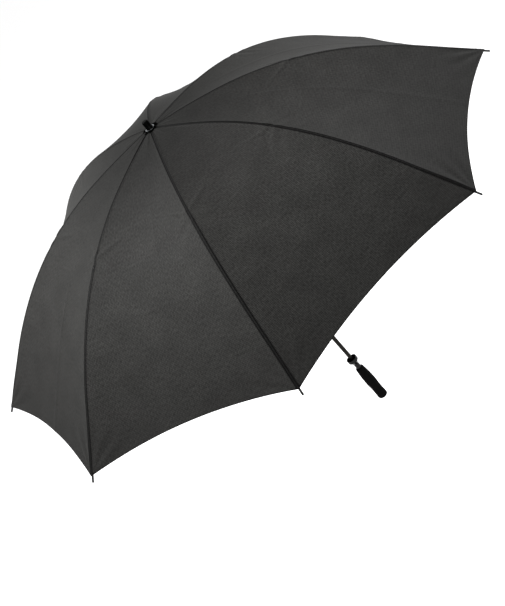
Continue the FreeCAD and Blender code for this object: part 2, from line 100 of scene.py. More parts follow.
# ---- rosette and grip ----------------------------------------------------------------------------
ROSETTE_PROUD = 3 * MM           # how far the cloth disc stands past the frame's rosette
TOOTH_DEPTH = 1.8 * MM
TOOTH_COUNT = 24
ROSETTE_THICKNESS = 0.45 * MM
GRIP_SLICE = 0.05 * MM           # height of the slices that the grip's outline is read in
GRIP_STEP = 0.9 * MM             # longest face down the grip
DIMPLE_GRAIN = 1.6 * MM
GRIP_END_HOLE = 0.4 * MM         # radius at which the grip's end closes to one point
BORE_MARGIN = 1.15               # vertices within this many bore radii are the bore's, not the skin's
SMOOTH_WITHIN = 1.3              # no dimples within this many bore radii

# ---- camera and lights ---------------------------------------------------------------------------
EYE = (0.4675, -2.825, PIVOT_HEIGHT + 1.0539)
EYE_AHEAD = (-0.1281, 0.8725, -0.4714)
EYE_RIGHT = (0.7947, -0.1941, -0.5751)
LENS_SHIFT = (-0.0831, -0.0590)
LIT_POINT = (0, 0, 0.6)
SOFTBOX_WIDTH = 2.6
BACK_SHARE = 0.6                 # back softbox's power as a share of the front one's
FLOOR_REACH = 150                # half the floor's width, in metres


def rib_slope(along):
    """Slope below level of the taut rib, in radians, at a distance from its pivot."""
    share = min(along / RIB_LENGTH, 1.0)
    for (start, low), (end, high) in zip(RIB_BENDS, RIB_BENDS[1:]):
        if share <= end:
            return math.radians(low + (high - low) * (share - start) / (end - start))


def rib_point(along, lift=0.0):
    """(radius, height) of the taut rib's middle line, or of a line lifted square to it."""
    radius, height = PIVOT_RADIUS, PIVOT_HEIGHT
    for (start, low), (end, high) in zip(RIB_BENDS, RIB_BENDS[1:]):
        run = min(along, end * RIB_LENGTH) - start * RIB_LENGTH
        if run <= 0:
            break
        slope = math.radians(low)
        rate = math.radians(high - low) / ((end - start) * RIB_LENGTH)
        if rate == 0:
            radius += run * math.cos(slope)
            height -= run * math.sin(slope)
        else:
            radius += (math.sin(slope + rate * run) - math.sin(slope)) / rate
            height += (math.cos(slope + rate * run) - math.cos(slope)) / rate
    slope = rib_slope(along)
    return radius + lift * math.sin(slope), height + lift * math.cos(slope)


# ---- gore geometry -------------------------------------------------------------------------------
def smooth(low, high, value):
    """0 below low, 1 above high and a smooth rise between."""
    share = min(1.0, max(0.0, (value - low) / (high - low)))
    return share * share * (3 - 2 * share)


def bump(centre, width, value):
    """Bell of height 1 at the centre that has faded out about two widths away."""
    return math.exp(-((value - centre) / width) ** 2)


class Gore:
    """One of the canopy's cloth panels: a point for each distance down the ribs and place across."""

    def __init__(self, number, sizes):
        self.number = number
        self.sizes = sizes
        self.azimuth = -STEP_ANGLE * (number - 0.5)
        self.out = Vector((math.cos(self.azimuth), math.sin(self.azimuth), 0))
        self.across = Vector((-self.out.y, self.out.x, 0))
        self.hems = {}

    def hem(self, place):
        """Distance down the ribs at which the hollowed hem lies, for a place across the gore."""
        if place not in self.hems:
            self.hems[place] = self.hem_line(place)
        return self.hems[place]

    def hem_line(self, place):
        """The hem is an arc between the gore's corners, in the gore's own slope."""
        corner = rib_point(CORNER_ALONG)[0] * math.sin(HALF_STEP)
        radius = (corner ** 2 + HEM_RISE ** 2) / (2 * HEM_RISE)
        slope = rib_slope(CORNER_ALONG)
        fall = math.hypot(math.cos(slope) * math.cos(HALF_STEP), math.sin(slope))
        along = CORNER_ALONG
        for _ in range(8):
            side = place * rib_point(along)[0] * math.sin(HALF_STEP)
            along = CORNER_ALONG - (HEM_RISE - radius + math.sqrt(radius ** 2 - side ** 2)) / fall
        return along

    def relief(self, along, place):
        """How far the cloth stands off the straight lines between its ribs, outwards."""
        sizes = self.sizes
        edge = (1 - abs(place)) * rib_point(along)[0] * math.sin(HALF_STEP)
        down = along / CORNER_ALONG
        # The sag sets in below the crown, and the taut hem takes about half of it back.
        sag = sizes.sag * (1 - place ** 2) * smooth(0.02, 0.45, down)
        sag *= 1 - 0.55 * smooth(0.7, 1.0, down)
        rise = -sag
        rise += sizes.pucker * self.puckers(along, place)
        rise += sizes.wrinkle * self.wrinkles(along, place, edge)
        rise += sizes.crease * self.creases(along, place)
        rise -= sizes.seam_depth * bump(0, SEAM_GROOVE, edge)
        rise += sizes.seam_lap * (1 - smooth(*LAP_OUTSIDE, edge)) * smooth(*LAP_INSIDE, edge)
        if along > 0.8 * CORNER_ALONG:
            turned = self.hem(place) - along - sizes.hem_width
            rise += sizes.seam_lap * (1 - smooth(-HEM_STEP, HEM_STEP, turned))
        return rise

    def puckers(self, along, place):
        """Gathers that radiate from under the rosette and fade down the gore."""
        fade = 1 - smooth(15 * MM, 110 * MM, along)
        wave = math.cos(place * 4.2 + 1.3 * math.sin(self.number * 2.1))
        wave += 0.4 * math.cos(place * 11 + self.number * 1.7)
        return fade * wave * (1 - place ** 4)

    def wrinkles(self, along, place, edge):
        """Small pulls: slanted ones off each rib joint, and a fan of them into each corner."""
        side = math.copysign(1, place)
        joint = bump(RIB_JOINT + 0.55 * edge, 34 * MM, along) * bump(20 * MM, 34 * MM, edge)
        pull = joint * math.sin((along - 0.7 * edge) / (5.2 * MM) + self.number * 1.9)
        # One sharper pull runs from the joint up the gore.
        line = along - (RIB_JOINT - 4 * MM - 0.5 * edge)
        sharp = 2.6 * bump(0, 5.5 * MM, line) * smooth(1 * MM, 9 * MM, edge)
        pull += sharp * (1 - smooth(25 * MM, 75 * MM, edge))
        corner = math.hypot(edge, CORNER_ALONG - along)
        turn = math.atan2(edge, CORNER_ALONG - along + 1e-6)
        fan = bump(55 * MM, 45 * MM, corner)
        pull += 1.1 * fan * math.sin(turn * 11 + self.number * 1.3 + side)
        return pull

    def creases(self, along, place):
        """Faint sharp lines left where the gore was folded, and a slow unevenness of the cloth."""
        side = place * rib_point(along)[0] * math.sin(HALF_STEP)
        shift = 9 * MM * math.sin(self.number * 2.7)
        press = math.exp(-abs(side - shift - 0.05 * along) / (3.5 * MM)) * smooth(0.1, 0.35, along)
        cross = math.exp(-abs(along - 0.47 - 0.12 * side) / (3 * MM)) * smooth(0, 0.3, 1 - abs(place))
        drift = noise.noise(Vector((side * 9, along * 7, self.number * 3.1)))
        return 0.9 * press + 0.5 * cross + 1.6 * drift * smooth(0, 0.25, 1 - abs(place))

    def point(self, along, place, drop=0.0):
        """Point of the cloth's outer face, or below it by drop."""
        radius, height = rib_point(along, CLOTH_LIFT)
        slope = rib_slope(along)
        steep = math.atan2(math.sin(slope), math.cos(slope) * math.cos(HALF_STEP))
        square = self.out * math.sin(steep) + Vector((0, 0, math.cos(steep)))
        flat = self.out * (radius * math.cos(HALF_STEP))
        flat += self.across * (place * radius * math.sin(HALF_STEP))
        return flat + Vector((0, 0, height)) + square * (self.relief(along, place) - drop)

    def width(self, along):
        """Half the gore's width at a distance down the ribs."""
        return rib_point(along)[0] * math.sin(HALF_STEP)


def even(count):
    """Evenly spaced shares from 0 to 1."""
    return [number / count for number in range(count + 1)]


def places_across(count):
    """Places from -1 to 1, closer together towards the seams."""
    return [0.35 * math.sin(math.pi / 2 * (2 * share - 1)) + 0.65 * (2 * share - 1)
            for share in even(count)]


# ---- small helpers -------------------------------------------------------------------------------
def linear(hex_colour):
    """Linear RGBA from an sRGB hex colour."""
    parts = [int(hex_colour[at:at + 2], 16) / 255 for at in (1, 3, 5)]
    return tuple(p / 12.92 if p <= 0.04045 else ((p + 0.055) / 1.055) ** 2.4 for p in parts) + (1.0,)


def node(tree, kind, links=None, **settings):
    """Adds a node: settings name its properties, links name its inputs (a value or another output)."""
    made = tree.nodes.new(kind)
    for name, value in settings.items():
        setattr(made, name, value)
    for name, value in (links or {}).items():
        if isinstance(value, bpy.types.NodeSocket):
            tree.links.new(value, made.inputs[name])
        else:
            made.inputs[name].default_value = value
    return made


def mesh_object(name, points, faces):
    """New mesh object in the scene, shaded smooth."""
    mesh = bpy.data.meshes.new(name)
    mesh.from_pydata([tuple(p) for p in points], [], faces)
    mesh.validate()
    mesh.polygons.foreach_set("use_smooth", [True] * len(mesh.polygons))
    made = bpy.data.objects.new(name, mesh)
    bpy.context.scene.collection.objects.link(made)
    return made


def sizes_of(name):
    """The scene's settings of one PropertyGroup."""
    return getattr(bpy.context.scene, name)


# ---- materials -----------------------------------------------------------------------------------
def new_material(name):
    """Empty node material with its shader and output: (material, tree, shader)."""
    material = bpy.data.materials.new(name)
    material.use_nodes = True
    tree = material.node_tree
    tree.nodes.clear()
    shader = node(tree, "ShaderNodeBsdfPrincipled")
    node(tree, "ShaderNodeOutputMaterial", {"Surface": shader.outputs["BSDF"]})
    return material, tree, shader


def speckle(tree, coordinates, size, low, high, detail=3.0):
    """Noise of about the given grain size in metres, mapped from low to high."""
    grain = node(tree, "ShaderNodeTexNoise", {
        "Vector": coordinates, "Scale": 1 / size, "Detail": detail})
    spread = node(tree, "ShaderNodeMapRange", {
        "Value": grain.outputs["Fac"], "From Min": 0.3, "From Max": 0.7, "To Min": low, "To Max": high})
    return spread.outputs["Result"]


def mixed(tree, factor, first, second, kind="MIX"):
    """Mixes two colours, each a hex string or a socket."""
    mix = tree.nodes.new("ShaderNodeMix")
    mix.data_type = "RGBA"
    mix.blend_type = kind
    # A Mix node set to RGBA keeps its colours in inputs 6 and 7 and in output 2.
    for socket, value in ((mix.inputs[0], factor), (mix.inputs[6], first), (mix.inputs[7], second)):
        if isinstance(value, str):
            value = linear(value)
        if isinstance(value, bpy.types.NodeSocket):
            tree.links.new(value, socket)
        else:
            socket.default_value = value
    return mix.outputs[2]


def stepped(tree, value, longest, stops):
    """Grey tone that follows stops, each a share of the longest value and its tone."""
    share = node(tree, "ShaderNodeMath", {0: value, 1: 1 / longest}, operation="MULTIPLY")
    ramp = node(tree, "ShaderNodeValToRGB", {"Fac": share.outputs[0]})
    marks = ramp.color_ramp.elements
    while len(marks) < len(stops):
        marks.new(0.5)
    for mark, (place, tone) in zip(marks, stops):
        mark.position = place
        mark.color = (tone, tone, tone, 1)
    return ramp.outputs["Color"]


def canopy_cloth(sizes):
    """Plain-woven polyester pongee, dyed black: matt charcoal, a fine thread grid, a soft sheen."""
    material, tree, shader = new_material("pongee_polyester_woven")
    uv = node(tree, "ShaderNodeUVMap", uv_map="cut").outputs["UV"]
    period = 0.1 * math.pi      # of a wave texture at scale 1
    # Real threads are about 0.15 mm apart; they are drawn at thread_spacing so that the weave shows.
    threads_in = {"Vector": uv, "Scale": period / sizes.thread_spacing, "Distortion": 1.2, "Detail": 2.0,
                  "Detail Scale": 1.5}
    warp = node(tree, "ShaderNodeTexWave", threads_in, wave_type="BANDS", bands_direction="X")
    weft = node(tree, "ShaderNodeTexWave", threads_in, wave_type="BANDS", bands_direction="Y")
    weave = node(tree, "ShaderNodeMath", {0: warp.outputs["Fac"], 1: weft.outputs["Fac"]},
                 operation="MULTIPLY")
    drawn = node(tree, "ShaderNodeMapping", {"Vector": uv, "Scale": (1, 0.55, 1)}).outputs["Vector"]
    # Slubs are uneven lengths of thread; real ones are under a millimetre wide.
    slub = speckle(tree, drawn, 3.4 * MM, 0.0, 1.0)
    cloud = speckle(tree, uv, 60 * MM, 0.0, 1.0, 4.0)
    threads = mixed(tree, weave.outputs[0], sizes.shadow_hex, sizes.thread_hex)
    slubbed = mixed(tree, 0.4, threads, mixed(tree, slub, "#0C0C0C", "#313130"))
    clouded = mixed(tree, cloud, slubbed, mixed(tree, 1.0, slubbed, "#E4E4E4", "MULTIPLY"))
    # Painted shade and highlight: the tone is darker at the crown and the hem and lightest part way down;
    # cloth of one dye has no such ring of its own.
    down = node(tree, "ShaderNodeSeparateXYZ", {"Vector": uv}).outputs["Y"]
    painted_gore_shading = mixed(tree, 1.0, clouded, stepped(tree, down, CORNER_ALONG, GORE_PAINTED_SHADING), "MULTIPLY")
    # Each seam's folded edges get painted shade, near black, with a paler ridge between them; the turned
    # hem's edge is shaded the same way.
    off_seam = node(tree, "ShaderNodeAttribute", attribute_name="off_seam").outputs["Fac"]
    shade = stepped(tree, off_seam, 2.0, SEAM_SHADE)
    tree.links.new(mixed(tree, shade, painted_gore_shading, "#010101"), shader.inputs["Base Color"])
    raised = node(tree, "ShaderNodeMath", {0: weave.outputs[0], 1: slub}, operation="ADD")
    relief = node(tree, "ShaderNodeBump", {
        "Height": raised.outputs[0], "Strength": 0.22, "Distance": 0.25 * MM})
    tree.links.new(relief.outputs["Normal"], shader.inputs["Normal"])
    shader.inputs["Roughness"].default_value = 0.6
    shader.inputs["IOR"].default_value = 1.53
    shader.inputs["Specular IOR Level"].default_value = 0.02
    shader.inputs["Sheen Weight"].default_value = 0.006
    shader.inputs["Sheen Roughness"].default_value = 0.4
    shader.inputs["Sheen Tint"].default_value = linear("#C8C8C8")
    return material


def simple_finish(name, low_hex, high_hex, grain, roughness, ior=1.5, metallic=0.0, bump_mm=0.02,
                  stretch=1.0, gloss=0.5):
    """Finish whose tone, roughness and relief all vary over one grain."""
    material, tree, shader = new_material(name)
    place = node(tree, "ShaderNodeTexCoord").outputs["Object"]
    drawn = node(tree, "ShaderNodeMapping", {"Vector": place, "Scale": (1, 1, stretch)}).outputs["Vector"]
    spots = speckle(tree, drawn, grain, 0.0, 1.0)
    cloud = speckle(tree, drawn, grain * 14, 0.0, 1.0, 2.0)
    tone = mixed(tree, 0.35, mixed(tree, spots, low_hex, high_hex),
                 mixed(tree, cloud, low_hex, high_hex))
    tree.links.new(tone, shader.inputs["Base Color"])
    rough = node(tree, "ShaderNodeMapRange", {
        "Value": cloud, "To Min": roughness * 0.85, "To Max": roughness * 1.15})
    tree.links.new(rough.outputs["Result"], shader.inputs["Roughness"])
    relief = node(tree, "ShaderNodeBump", {"Height": spots, "Strength": 0.5, "Distance": bump_mm * MM})
    tree.links.new(relief.outputs["Normal"], shader.inputs["Normal"])
    shader.inputs["Metallic"].default_value = metallic
    if not metallic:
        shader.inputs["IOR"].default_value = ior
        shader.inputs["Specular IOR Level"].default_value = gloss
    return material


def frame_finishes():
    """Material of each group of the frame's own parts, by the start of the node's name."""
    shaft_steel = simple_finish(
        # Drawn steel tube, electro-blackened: dark gunmetal with fine lines along its length.
        "gunmetal_plated_steel_drawn", "#11100F", "#201F1D", 0.6 * MM, 0.3, metallic=1.0, stretch=0.05)
    black_nylon = simple_finish(
        # Injection-moulded nylon with a fine spark-eroded grain: matt black.
        "nylon_black_moulded", "#060606", "#0E0E0F", 0.35 * MM, 0.5, ior=1.53, gloss=0.12)
    wire = simple_finish(
        # Galvanised spring wire: pale grey metal with a dull zinc skin.
        "galvanised_steel_wire", "#8E9092", "#B2B4B6", 0.5 * MM, 0.38, metallic=1.0)
    washer = simple_finish(
        # Pressed aluminium, barrel polished: bright and slightly soft in its reflections.
        "aluminium_polished_pressed", "#4A4C4E", "#6C6E70", 0.4 * MM, 0.34, metallic=1.0)
    ferrule_abs = simple_finish(
        # ABS moulding, satin: black with a broad soft highlight.
        "abs_black_satin_moulded", "#010101", "#030303", 0.5 * MM, 0.34, ior=1.54, gloss=0.01)
    cup_abs = simple_finish(
        # ABS moulding from a polished tool: black and glossy, with crisp highlights.
        "abs_black_gloss_moulded", "#030303", "#080808", 0.8 * MM, 0.2, ior=1.54, bump_mm=0.005,
        gloss=0.09)
    button_nylon = simple_finish(
        # Nylon moulding rubbed by thumbs: a little smoother and greyer than the runner.
        "nylon_grey_rubbed", "#2A2A2C", "#3C3C3F", 0.5 * MM, 0.36, ior=1.53)
    rib_steel = simple_finish(
        # Steel rib rod with baked black enamel: smooth, with a low sheen.
        "steel_black_enamelled", "#08080A", "#131315", 0.8 * MM, 0.3, ior=1.5, bump_mm=0.008,
        gloss=0.25)
    fibreglass = simple_finish(
        # Pultruded fibreglass rod, pigmented black: glossy, with streaks along the fibres.
        "fibreglass_pultruded_black", "#09090A", "#17171A", 0.5 * MM, 0.25, ior=1.55, stretch=0.08,
        gloss=0.25)
    tip_nylon = simple_finish(
        # Moulded nylon rib tip: plain black with a slight shine.
        "nylon_black_tip", "#050505", "#0B0B0C", 0.4 * MM, 0.38, ior=1.53, gloss=0.12)
    return {
        "shaft": shaft_steel,
        "top_notch": black_nylon,
        "notch_wire": wire,
        "runner_wire": wire,
        "runner": black_nylon,
        "ferrule_ring": washer,
        "ferrule": ferrule_abs,
        "tip_cup": cup_abs,
        "latch_button": button_nylon,
        "latch_spring": wire,
        "rib_upper": rib_steel,
        "stretcher": rib_steel,
        "rib_lower": fibreglass,
        "rib_tip": tip_nylon,
    }


# ---- settings ------------------------------------------------------------------------------------
class CanopySettings(bpy.types.PropertyGroup):
    sag: bpy.props.FloatProperty(
        name="Sag", description="How far a gore's middle is drawn in between its ribs",
        default=11 * MM, unit="LENGTH")
    pucker: bpy.props.FloatProperty(
        name="Pucker", description="Height of the gathers round the rosette",
        default=0.5 * MM, unit="LENGTH")
    wrinkle: bpy.props.FloatProperty(
        name="Wrinkle", description="Height of the pulls at joints and corners",
        default=0.7 * MM, unit="LENGTH")
    crease: bpy.props.FloatProperty(
        name="Crease", description="Height of the fold lines pressed into a gore",
        default=0.8 * MM, unit="LENGTH")
    seam_depth: bpy.props.FloatProperty(
        name="Seam depth", description="Depth of the groove where two gores are sewn together",
        default=0.7 * MM, unit="LENGTH")
    seam_lap: bpy.props.FloatProperty(
        name="Seam lap", description="Rise over the folded edges beside a seam",
        default=0.35 * MM, unit="LENGTH")
    thickness: bpy.props.FloatProperty(
        name="Thickness", description="Thickness of the cloth", default=0.4 * MM, unit="LENGTH")
    hem_width: bpy.props.FloatProperty(
        name="Hem width", description="Width of the turned hem", default=8 * MM, unit="LENGTH")
    thread_spacing: bpy.props.FloatProperty(
        name="Thread spacing", description="Drawn distance between threads",
        default=3.4 * MM, unit="LENGTH")
    thread_hex: bpy.props.StringProperty(
        name="Thread colour", description="sRGB hex colour of the threads", default="#33322F")
    shadow_hex: bpy.props.StringProperty(
        name="Gap colour", description="sRGB hex colour between the threads", default="#181818")


class StitchSettings(bpy.types.PropertyGroup):
    length: bpy.props.FloatProperty(
        name="Stitch length", description="Length of one stitch", default=2.6 * MM, unit="LENGTH")
    pitch: bpy.props.FloatProperty(
        name="Stitch pitch", description="Distance from one stitch to the next",
        default=3.6 * MM, unit="LENGTH")
    thickness: bpy.props.FloatProperty(
        name="Thread thickness", description="Thickness of the sewing thread",
        default=0.45 * MM, unit="LENGTH")
    from_seam: bpy.props.FloatProperty(
        name="From seam", description="Distance of the stitch row from the seam",
        default=3.4 * MM, unit="LENGTH")


class GripSettings(bpy.types.PropertyGroup):
    segments: bpy.props.IntProperty(
        name="Segments", description="Faces round the grip", default=96, min=24)
    dimple: bpy.props.FloatProperty(
        name="Dimple", description="Depth of the foam's uneven skin", default=0.08 * MM, unit="LENGTH")
    foam_hex: bpy.props.StringProperty(
        name="Foam colour", description="sRGB hex colour of the foam", default="#060606")


class StageSettings(bpy.types.PropertyGroup):
    floor_below: bpy.props.FloatProperty(
        name="Floor below", description="Floor's distance below the grip's end",
        default=2.0, unit="LENGTH")
    key_power: bpy.props.FloatProperty(
        name="Key power", description="Power of the large overhead softbox, in watts", default=520.0)
    fill_power: bpy.props.FloatProperty(
        name="Fill power", description="Power of the front softbox, in watts; the back one follows it",
        default=200.0)
    world_light: bpy.props.FloatProperty(
        name="Room light", description="Strength of the even white light all round", default=1.0)
    focal_length: bpy.props.FloatProperty(
        name="Focal length", description="Camera's focal length, in millimetres", default=86.8)


# ---- canopy --------------------------------------------------------------------------------------
def band_sheet(name, gore, rows, columns, first, last, thickness):
    """Closed thin sheet over part of a gore; first and last give the band's ends for a place across."""
    places = places_across(columns)
    outer, inner, cut = [], [], []
    for share in rows:
        for place in places:
            along = first(place) + (last(place) - first(place)) * share
            outer.append(gore.point(along, place))
            inner.append(gore.point(along, place, thickness))
            cut.append((place * gore.width(along), along))
    count, width, height = len(outer), len(places), len(rows)
    faces = []
    for row in range(height - 1):
        for column in range(width - 1):
            at = row * width + column
            faces.append((at, at + width, at + width + 1, at + 1))
            faces.append((count + at, count + at + 1, count + at + width + 1, count + at + width))
    ring = list(range(width))
    ring += [row * width + width - 1 for row in range(1, height)]
    ring += [(height - 1) * width + column for column in range(width - 2, -1, -1)]
    ring += [row * width for row in range(height - 2, 0, -1)]
    for here, there in zip(ring, ring[1:] + ring[:1]):
        faces.append((here, there, count + there, count + here))
    sheet = mesh_object(name, outer + inner, faces)
    mesh = sheet.data
    edge_of = {frozenset(pair) for pair in zip(ring, ring[1:] + ring[:1])}
    edge_of |= {frozenset(at + count for at in pair) for pair in edge_of}
    for edge in mesh.edges:
        edge.use_edge_sharp = frozenset(edge.vertices) in edge_of
    layer = mesh.uv_layers.new(name="cut")
    off_seam = mesh.attributes.new("off_seam", "FLOAT", "POINT")
    for loop in mesh.loops:
        layer.data[loop.index].uv = cut[loop.vertex_index % count]
    for at in range(2 * count):
        side, along = cut[at % count]
        edge = gore.width(along) - abs(side)
        reach = SHADE_REACH + SHADE_REACH_MORE * smooth(RIB_JOINT - 40 * MM, RIB_JOINT + 30 * MM, along)
        turned = gore.hem(side / gore.width(along)) - along
        off_seam.data[at].value = min(edge / reach, turned / HEM_SHADE_REACH)
    return sheet


def closed_with_canopy(piece, gore, body):
    """Gives the piece its own mesh and hangs it on the body of one of the gore's bands."""
    anchor = gore.out * gore.width(RIB_JOINT)
    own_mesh(piece)
    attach(piece, f"{body}_{gore.number}")


def declare_cloth(gore, start, end):
    """Works out the area of a band's flat cut and its width at the lower end, and uses neither."""
    steps = [start + (end - start) * share for share in even(20)]
    area = sum((gore.width(low) + gore.width(high)) * (high - low)
               for low, high in zip(steps, steps[1:]))
    area *= CUT_LEFT
    2 * gore.width(end)


class UMBRELLA_OT_canopy(bpy.types.Operator):
    """Makes the eight gores of the canopy, each in an upper and a lower band"""
    bl_idname = "umbrella.canopy"
    bl_label = "Canopy gores"

    def execute(self, context):
        sizes = sizes_of("umbrella_canopy")
        cloth = canopy_cloth(sizes)
        rough, fine = ((70, 110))
        for number in range(1, RIB_COUNT + 1):
            gore = Gore(number, sizes)
            top = band_sheet(
                f"gore_top_{number}", gore, even(rough), fine, lambda place: CLOTH_START - PIVOT_RADIUS,
                lambda place: RIB_JOINT, sizes.thickness)
            low = band_sheet(
                f"gore_hem_{number}", gore, even(fine), fine, lambda place: RIB_JOINT, gore.hem,
                sizes.thickness)
            bands = ((top, "canopy_upper", "panel_top"), (low, "canopy_lower", "panel_hem"))
            for piece, node_name, body in bands:
                piece.data.materials.append(cloth)
                closed_with_canopy(piece, gore, body)
                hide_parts(f"{node_name}_{number}")
            declare_cloth(gore, CLOTH_START - PIVOT_RADIUS, RIB_JOINT)
            declare_cloth(gore, RIB_JOINT, CORNER_ALONG)
        return {"FINISHED"}


# ---- stitching -----------------------------------------------------------------------------------
def stitch_tree():
    """Node tree that sets stitches along a line: a short thread at every pitch, laid along it."""
    tree = bpy.data.node_groups.new("stitch_row", "GeometryNodeTree")
    tree.interface.new_socket("Line", in_out="INPUT", socket_type="NodeSocketGeometry")
    for name in ("Pitch", "Stitch length", "Thread thickness"):
        tree.interface.new_socket(name, in_out="INPUT", socket_type="NodeSocketFloat")
    tree.interface.new_socket("Thread", in_out="INPUT", socket_type="NodeSocketMaterial")
    tree.interface.new_socket("Stitches", in_out="OUTPUT", socket_type="NodeSocketGeometry")
    given = node(tree, "NodeGroupInput").outputs
    line = node(tree, "GeometryNodeMeshToCurve", {"Mesh": given["Line"]})
    spaced = node(tree, "GeometryNodeResampleCurve", {
        "Curve": line.outputs["Curve"], "Length": given["Pitch"]}, mode="LENGTH")
    tangent = node(tree, "GeometryNodeInputTangent")
    turn = node(tree, "FunctionNodeAlignRotationToVector", {"Vector": tangent.outputs["Tangent"]},
                axis="Z")
    thread = node(tree, "GeometryNodeMeshUVSphere", {"Segments": 6, "Rings": 4, "Radius": 0.5})
    size = node(tree, "ShaderNodeCombineXYZ", {
        "X": given["Thread thickness"], "Y": given["Thread thickness"], "Z": given["Stitch length"]})
    many = node(tree, "GeometryNodeInstanceOnPoints", {
        "Points": spaced.outputs["Curve"], "Instance": thread.outputs["Mesh"],
        "Rotation": turn.outputs["Rotation"], "Scale": size.outputs["Vector"]})
    real = node(tree, "GeometryNodeRealizeInstances", {"Geometry": many.outputs["Instances"]})
    round_off = node(tree, "GeometryNodeSetShadeSmooth", {"Geometry": real.outputs["Geometry"]})
    painted_gore_shading = node(tree, "GeometryNodeSetMaterial", {
        "Geometry": round_off.outputs["Geometry"], "Material": given["Thread"]})
    node(tree, "NodeGroupOutput", {"Stitches": painted_gore_shading.outputs["Geometry"]})
    return tree


def run_tree(name, tree, lines, inputs):
    """Plain mesh object that a node tree makes from lines of points."""
    points = [tuple(point) for line in lines for point in line]
    edges, start = [], 0
    for line in lines:
        edges += [(start + at, start + at + 1) for at in range(len(line) - 1)]
        start += len(line)
    mesh = bpy.data.meshes.new(name + "_line")
    mesh.from_pydata(points, edges, [])
    source = bpy.data.objects.new(name + "_line", mesh)
    bpy.context.scene.collection.objects.link(source)
    modifier = source.modifiers.new("made", "NODES")
    modifier.node_group = tree
    sockets = {item.name: item.identifier for item in tree.interface.items_tree
               if item.in_out == "INPUT"}
    for label, value in inputs.items():
        modifier[sockets[label]] = value
    bpy.context.view_layer.update()
    depsgraph = bpy.context.evaluated_depsgraph_get()
    made = bpy.data.meshes.new_from_object(source.evaluated_get(depsgraph))
    bpy.data.objects.remove(source)
    if not made.polygons:
        raise RuntimeError(f"{name}: the node tree made no faces")
    made.name = name
    piece = bpy.data.objects.new(name, made)
    bpy.context.scene.collection.objects.link(piece)
    return piece


def thread_finish():
    """Spun polyester sewing thread, dyed black: matt, a shade greyer than the cloth."""
    return simple_finish(
        "polyester_thread_spun", "#141413", "#222120", 0.4 * MM, 0.75, ior=1.53, gloss=0.05)


def stitch_line(gore, low, high, place_at, lift):
    """Points on the outer face of a gore, where place_at gives the place across for a distance down."""
    steps = max(8, int((high - low) / (6 * MM)))
    alongs = [low + (high - low) * share for share in even(steps)]
    return [gore.point(along, place_at(along), -lift) for along in alongs]


def beside_seam(gore, side, gap):
    """Place across a gore that keeps a fixed distance from its seam."""
    return lambda along: side * (1 - gap / gore.width(along))


class UMBRELLA_OT_stitching(bpy.types.Operator):
    """Sews a row of stitches beside every seam and along the turned hem"""
    bl_idname = "umbrella.stitching"
    bl_label = "Stitching"

    def execute(self, context):
        sizes, cloth = sizes_of("umbrella_stitching"), sizes_of("umbrella_canopy")
        tree, thread = stitch_tree(), thread_finish()
        inputs = {"Pitch": sizes.pitch, "Stitch length": sizes.length,
                  "Thread thickness": sizes.thickness, "Thread": thread}
        lift = 0.2 * sizes.thickness
        for number in range(1, RIB_COUNT + 1):
            gore = Gore(number, cloth)
            rows_top, rows_low = [], []
            for side in (-1, 1):
                place_at = beside_seam(gore, side, sizes.from_seam)
                rows_top.append(stitch_line(gore, 16 * MM, RIB_JOINT - sizes.length, place_at, lift))
                rows_low.append(stitch_line(
                    gore, RIB_JOINT + sizes.length, CORNER_ALONG - cloth.hem_width, place_at, lift))
            edge = 1 - 2 * sizes.from_seam / gore.width(CORNER_ALONG)
            hem = [gore.point(gore.hem(place) - cloth.hem_width + MM, place, -lift)
                   for place in [edge * (2 * share - 1) for share in even(80)]]
            bands = (("top", rows_top, "panel_top"), ("hem", rows_low + [hem], "panel_hem"))
            for name, rows, body in bands:
                piece = run_tree(f"stitches_{name}_{number}", tree, rows, inputs)
                closed_with_canopy(piece, gore, body)
        return {"FINISHED"}


# ---- rosette -------------------------------------------------------------------------------------
class UMBRELLA_OT_rosette(bpy.types.Operator):
    """Makes the pinked cloth disc over the middle of the canopy"""
    bl_idname = "umbrella.rosette"
    bl_label = "Rosette"

    def execute(self, context):
        sizes = sizes_of("umbrella_canopy")
        rings, per_tooth = 10, 6
        inner = SHAFT_RADIUS + 0.1 * MM
        outer = ROSETTE_HIGH.x + ROSETTE_PROUD
        points, count = [], TOOTH_COUNT * per_tooth
        for face_height in (ROSETTE_HIGH.z, ROSETTE_HIGH.z - ROSETTE_THICKNESS):
            for ring in range(rings + 1):
                share = ring / rings
                for at in range(count):
                    turn = 2 * math.pi * at / count
                    tooth = abs((at % per_tooth) / per_tooth * 2 - 1)
                    reach = outer - TOOTH_DEPTH * (1 - tooth)
                    radius = inner + (reach - inner) * share
                    ripple = 0.45 * MM * share ** 2 * math.sin(turn * 7 + 0.8)
                    ripple += 0.3 * MM * share * math.sin(turn * 3)
                    height = face_height + ripple - 0.35 * MM * share
                    points.append((radius * math.cos(turn), radius * math.sin(turn), height))
        layer = (rings + 1) * count
        faces = []
        for at in range(count):
            beside = (at + 1) % count
            for ring in range(rings):
                low, high = ring * count, (ring + 1) * count
                faces.append((low + at, high + at, high + beside, low + beside))
                faces.append((layer + low + at, layer + low + beside,
                              layer + high + beside, layer + high + at))
            rim = rings * count
            faces.append((rim + at, layer + rim + at, layer + rim + beside, rim + beside))
            faces.append((at, beside, layer + beside, layer + at))
        disc = mesh_object("rosette_cloth", points, faces)
        layer_uv = disc.data.uv_layers.new(name="cut")
        for loop in disc.data.loops:
            spot = disc.data.vertices[loop.vertex_index].co
            layer_uv.data[loop.index].uv = (spot.x, spot.y)
        disc.data.materials.append(simple_finish(
            # Same cloth waxed and heat-cut with a pinked edge: near black and slightly shiny.
            "polyester_waxed_pinked", "#010101", "#030303", 0.8 * MM, 0.6, ior=1.5, gloss=0.0))
        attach(disc, "frame")
        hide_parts("rosette")
        return {"FINISHED"}


